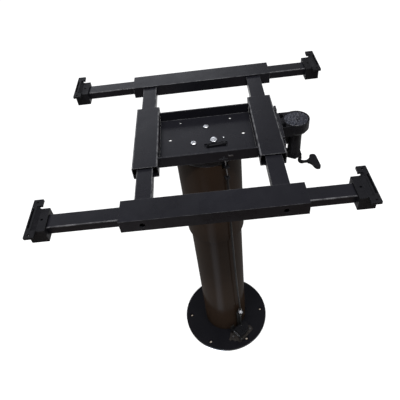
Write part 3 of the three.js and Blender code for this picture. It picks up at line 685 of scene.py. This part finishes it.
def tray_screw(node, hexagon=False):
    """A head on the tray's floor and a shank down to the bottom of the CAD node."""
    centre, size = middle(node)
    low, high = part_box(node)
    radius = size.x / 2
    if hexagon:
        seat = high.z - 5 * MM
        head = hexagon_head(node, radius)
    else:
        height = 2.8 * MM
        seat = high.z - height
        head = pan_head(node, radius, height)
    head.data.transform(Matrix.Translation((centre.x, centre.y, seat)))
    shank_radius = 3 * MM
    chamfer = 0.4 * MM
    top = seat + 0.4 * MM
    shank_profile = [
        (0, low.z), (shank_radius - chamfer, low.z), (shank_radius, low.z + chamfer), (shank_radius, top),
        (0, top),
    ]
    shank = piece_from(lathe(shank_profile, 28, closed=False), "shank")
    shank.data.transform(Matrix.Translation((centre.x, centre.y, 0)))
    shade(shank)
    piece = joined([head, shank], "look_" + node)
    return dress(piece, "zinc", "turntable", node)


def joined(pieces, name):
    """One object from several meshes, each kept as it is."""
    bm = bmesh.new()
    for p in pieces:
        bm.from_mesh(p.data)
        bpy.data.objects.remove(p)
    mesh = bpy.data.meshes.new(name)
    bm.to_mesh(mesh)
    bm.free()
    piece = bpy.data.objects.new(name, mesh)
    bpy.context.scene.collection.objects.link(piece)
    return piece


# ---- Clamp dial: a low dome with a rolled rim, radial ribs and a ring of studs ----
def bead(half_size, turn, far, top, twist=0.0):
    """A flattened ball at a distance from the dial's axis."""
    bm = bmesh.new()
    bmesh.ops.create_uvsphere(bm, u_segments=14, v_segments=8, radius=1)
    bmesh.ops.scale(bm, vec=half_size, verts=bm.verts)
    bmesh.ops.rotate(bm, matrix=Matrix.Rotation(turn + twist, 3, "Z"), verts=bm.verts)
    bmesh.ops.translate(bm, vec=(far * math.cos(turn), far * math.sin(turn), top), verts=bm.verts)
    piece = piece_from(bm, "bead")
    piece.data.shade_smooth()
    return piece


def dial():
    centre, size = middle("clamp_dial")
    low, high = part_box("clamp_dial")
    r = size.x / 2
    deep = high.z - low.z
    crown = deep * 0.93
    profile = [
        (0, 0), (r - 0.8 * MM, 0), (r, 0.8 * MM), (r, deep * 0.50), (r - 0.4 * MM, deep * 0.60),
        (r - 1.4 * MM, deep * 0.66), (r - 2.6 * MM, deep * 0.62), (r * 0.80, deep * 0.70),
        (r * 0.60, deep * 0.80), (r * 0.42, deep * 0.87), (r * 0.20, crown), (0, crown),
    ]
    body = piece_from(lathe(profile, 96, closed=False), "dial_body")
    shade(body, 40)
    parts = [body]
    slope = (crown - deep * 0.66) / r

    def surface(far):
        return crown - slope * far

    studs = 30
    stud = (1.5 * MM, 0.8 * MM, 0.55 * MM)
    stud_ring = r * 0.82
    for i in range(studs):
        parts.append(bead(stud, 2 * math.pi * i / studs, stud_ring, surface(stud_ring)))
    ribs = 8
    rib = (r * 0.20, 1.1 * MM, 0.60 * MM)
    rib_ring = r * 0.44
    short_rib = (r * 0.09, 0.8 * MM, 0.55 * MM)
    short_ring = r * 0.62
    for i in range(ribs):
        turn = 2 * math.pi * i / ribs + 0.2
        parts.append(bead(rib, turn, rib_ring, surface(rib_ring)))
        parts.append(bead(short_rib, turn + math.pi / ribs, short_ring, surface(short_ring), 0.5))
    parts.append(bead((2.6 * MM, 2.6 * MM, 0.5 * MM), 0, 0, surface(0)))
    piece = joined(parts, "look_clamp_dial")
    piece.data.transform(Matrix.Translation((centre.x, centre.y, low.z)))
    return dress(piece, "dial", "clamp_shaft", "clamp_dial")


# ---- Smooth cast pieces: the CAD shape remeshed and relaxed ----
def cast_look(node, voxel, rounds):
    piece = piece_from(cad_mesh(node), "look_" + node)
    remesh = piece.modifiers.new("voxels", "REMESH")
    remesh.mode = "VOXEL"
    remesh.voxel_size = voxel
    relax = piece.modifiers.new("relax", "SMOOTH")
    relax.factor = 0.5
    relax.iterations = rounds
    apply_modifiers(piece)
    piece.data.shade_smooth()
    return dress(piece, SLOT_OF[node], BODY_OF[node], node)


# ---- Pedal spring: a real coil along the hinge rod ----
def pedal_spring():
    centre = Vector((90.75, -33, 30)) * MM
    wire_radius = 0.55 * MM
    coil_radius = 3.05 * MM
    half_length = 11 * MM
    turns = 14
    per_turn = 16
    points = []
    for i in range(turns * per_turn + 1):
        turn = 2 * math.pi * i / per_turn
        along = half_length * (2 * i / (turns * per_turn) - 1)
        points.append((along, coil_radius * math.cos(turn), coil_radius * math.sin(turn)))
    piece = piece_from(swept(points, wire_radius, 8, 2), "look_pedal_spring")
    piece.data.shade_smooth()
    piece.data.transform(Matrix.Rotation(PEDAL_BEARING, 4, "Z") @ Matrix.Translation(centre))
    return dress(piece, "steel", "pedestal", "pedal_spring")


# ---- Control cable, with a moulded boot at the lower end and a ferrule at the upper ----
# Points down the column in millimetres, from the sheath's clamp to the fitting over the pedal.
CABLE_ROUTE = [
    (35.2, -70.2, 689.6), (35.0, -70.6, 660), (34.9, -70.9, 600), (35.3, -70.8, 520), (36.4, -70.3, 440),
    (38.1, -69.5, 350), (40.4, -68.2, 260), (42.9, -66.6, 190), (44.6, -65.4, 150), (44.9, -65.1, 130.4),
]


def cable():
    sheath_radius = 2.25
    boot_start = 0.965
    ferrule_end = 0.018
    points = [Vector(p) * MM for p in CABLE_ROUTE]

    def radius(t):
        boot = max(0.0, (t - boot_start) / (1 - boot_start))
        ferrule = 1.0 if t < ferrule_end else 0.0
        return (sheath_radius + 0.9 * boot**0.7 + 0.15 * ferrule) * MM

    piece = piece_from(swept(points, radius, 20, 24), "look_control_cable")
    shade(piece, 40)
    piece.data.materials.append(MAT["cable"])
    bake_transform(piece, "pedestal", "upper_column", start=points[-1], end=points[0])
    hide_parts("control_cable")


# ---- Everything, node by node ----
column()
for name in ("front_cross_sleeve", "rear_cross_sleeve"):
    tube_look(name, 0, 3 * MM)
for name in ("left_side_sleeve", "right_side_sleeve"):
    tube_look(name, 1, 3 * MM)
for name in ("front_rail", "rear_rail"):
    tube_look(name, 0, 2 * MM)
for name in ("left_leg_rail", "right_leg_rail"):
    tube_look(name, 1, 2 * MM)
for name in ("front_left_bracket", "front_right_bracket", "rear_left_bracket", "rear_right_bracket"):
    softened(name, 0.9 * MM, 3)
for name in ("tray_screw_1", "tray_screw_2"):
    tray_screw(name)
tray_screw("tray_screw_3", hexagon=True)
softened("base_flange", 0.6 * MM, 2, 24)
tray_look()
softened("clamp_housing", 1.1 * MM, 3, 28)
for name in ("clamp_mount_plate", "latch_lever", "cable_clamp", "release_lever"):
    softened(name, 0.5 * MM, 2, 28)
for name in (
    "swivel_upper_plate",
    "clamp_barrel",
    "cable_fitting",
    "pedal_hinge_rod",
    "clamp_spindle",
    "clamp_rod",
    "head_ring",
):
    softened(name, 0.35 * MM, 2, 28)
softened("clamp_collar", 1.2 * MM, 3)
cast_look("clamp_crank", 0.55 * MM, 8)
cast_look("pedal", 0.5 * MM, 2)
cast_look("pedal_bracket", 0.6 * MM, 2)
dial()
pedal_spring()
cable()
softened("tray_rivet", 0.3 * MM, 3, 24)
softened("release_pull_wire", 0.2 * MM, 2, 40)
softened("latch_spring_clip", 0.35 * MM, 3)
for name in ("bracket_screw_1", "bracket_screw_2"):
    softened(name, 0.3 * MM, 3, 24)

for name, node in frame["nodes"].items():
    if not node.hide_render:
        node.data.materials.clear()
        node.data.materials.append(MAT[SLOT_OF[name]])

# ---- Floor, light and camera ----
def floor_material():
    """White round the stand and dark brown far in front. The floor glows: dim brown inside the flange's
    reach, a painted shadow under the flange, and several times brighter in a streak in front, a glowing
    streak that the column reflects as a painted highlight.
    """
    brown_edge = -0.85
    white_edge = -0.33
    flange_reach = 0.120
    streak_slope = 0.40
    white = (1, 1, 1)
    material, shader = new_material("pale_floor")
    g = Graph(material)
    near = g.ranged(g.along("Y"), brown_edge, white_edge, 0, 1)
    swept_floor = g.mixed(g.ranged(g.noise(1.5, 3), 0.3, 0.7, 0, 1), (0.20, 0.20, 0.20), (0.22, 0.22, 0.22))
    g.link(g.mixed(near, (0.11, 0.065, 0.035), swept_floor), shader.inputs["Base Color"])

    # The streak glows several times brighter than the floor, so the column shows a highlight from it:
    # painted light.
    slope = g.maths("DIVIDE", g.along("X"), g.along("Y"))
    off_streak = g.maths("ABSOLUTE", g.maths("ADD", slope, -streak_slope), 0)
    in_front = g.ranged(g.along("Y"), -0.10, -0.12, 0, 1)
    streak = g.maths("MULTIPLY", g.ranged(off_streak, 0.10, 0.40, 1, 0), in_front)
    glow = g.mixed(streak, white, (3.4, 3.6, 4.0))
    reach = g.nodes.new("ShaderNodeVectorMath")
    reach.operation = "LENGTH"
    g.link(g.place, reach.inputs[0])
    # Inside the flange's reach the glow drops to dim brown: painted shadow under the flange.
    clear = g.ranged(reach.outputs["Value"], flange_reach, flange_reach + 4 * MM, 0, 1)
    glow_and_painted_shadow = g.mixed(clear, (0.20, 0.15, 0.10), glow)
    g.link(g.mixed(near, (0.05, 0.028, 0.015), glow_and_painted_shadow), shader.inputs["Emission Color"])
    shader.inputs["Roughness"].default_value = 0.95
    shader.inputs["Specular IOR Level"].default_value = 0.1
    shader.inputs["Emission Strength"].default_value = 0.90
    return material


floor_bm = bmesh.new()
bmesh.ops.create_grid(floor_bm, x_segments=2, y_segments=2, size=14)
floor = piece_from(floor_bm, "floor")
floor.location.z = -0.2 * MM
floor.data.materials.append(floor_material())

world = bpy.data.worlds.new("studio")
bpy.context.scene.world = world
world.use_nodes = True
background = world.node_tree.nodes["Background"]
background.inputs["Color"].default_value = (1.0, 1.0, 1.0, 1)
background.inputs["Strength"].default_value = 0.35


def area_light(name, at, target, size, power, colour=(1, 1, 1)):
    data = bpy.data.lights.new(name, "AREA")
    data.shape = "RECTANGLE"
    data.size, data.size_y = size
    data.energy = power
    data.color = colour
    light = bpy.data.objects.new(name, data)
    light.location = at
    light.rotation_euler = (Vector(target) - Vector(at)).to_track_quat("-Z", "Y").to_euler()
    bpy.context.scene.collection.objects.link(light)


area_light("overhead", at=(0.1, -0.5, 3.3), target=(0, -0.1, 0), size=(3.2, 1.8), power=72)
area_light("edge_strip", at=(0.0, -1.1, 3.0), target=(0, 0, 0.6), size=(3.0, 0.22), power=70)
cool = (0.90, 0.93, 1.0)
area_light("back", at=(-1.5, 3.4, 2.8), target=(0, 0.1, 0.6), size=(4.4, 1.8), power=46, colour=cool)
area_light("front_right", at=(2.4, -1.8, 1.9), target=(0, 0, 0.4), size=(0.9, 1.6), power=1.5)


def look_through(at, heading, tilt, roll, lens):
    """The camera: heading from +Y towards +X, tilt above the horizon and roll, in degrees."""
    heading, tilt, roll = (math.radians(a) for a in (heading, tilt, roll))
    data = bpy.data.cameras.new("camera")
    data.sensor_width = 36
    data.lens = lens
    camera = bpy.data.objects.new("camera", data)
    level = math.cos(tilt)
    ahead = Vector((math.sin(heading) * level, math.cos(heading) * level, math.sin(tilt)))
    right = Vector((math.cos(heading), -math.sin(heading), 0))
    above = right.cross(ahead)
    rolled_right = math.cos(roll) * right + math.sin(roll) * above
    rolled_above = math.cos(roll) * above - math.sin(roll) * right
    turned = Matrix((rolled_right, rolled_above, -ahead)).transposed().to_4x4()
    camera.matrix_world = Matrix.Translation(at) @ turned
    bpy.context.scene.collection.objects.link(camera)
    bpy.context.scene.camera = camera


look_through(at=(0.0071, -0.7082, 1.2963), heading=-3.200, tilt=-46.02, roll=-8.219, lens=37.82)
bpy.context.scene.view_settings.view_transform = "Standard"
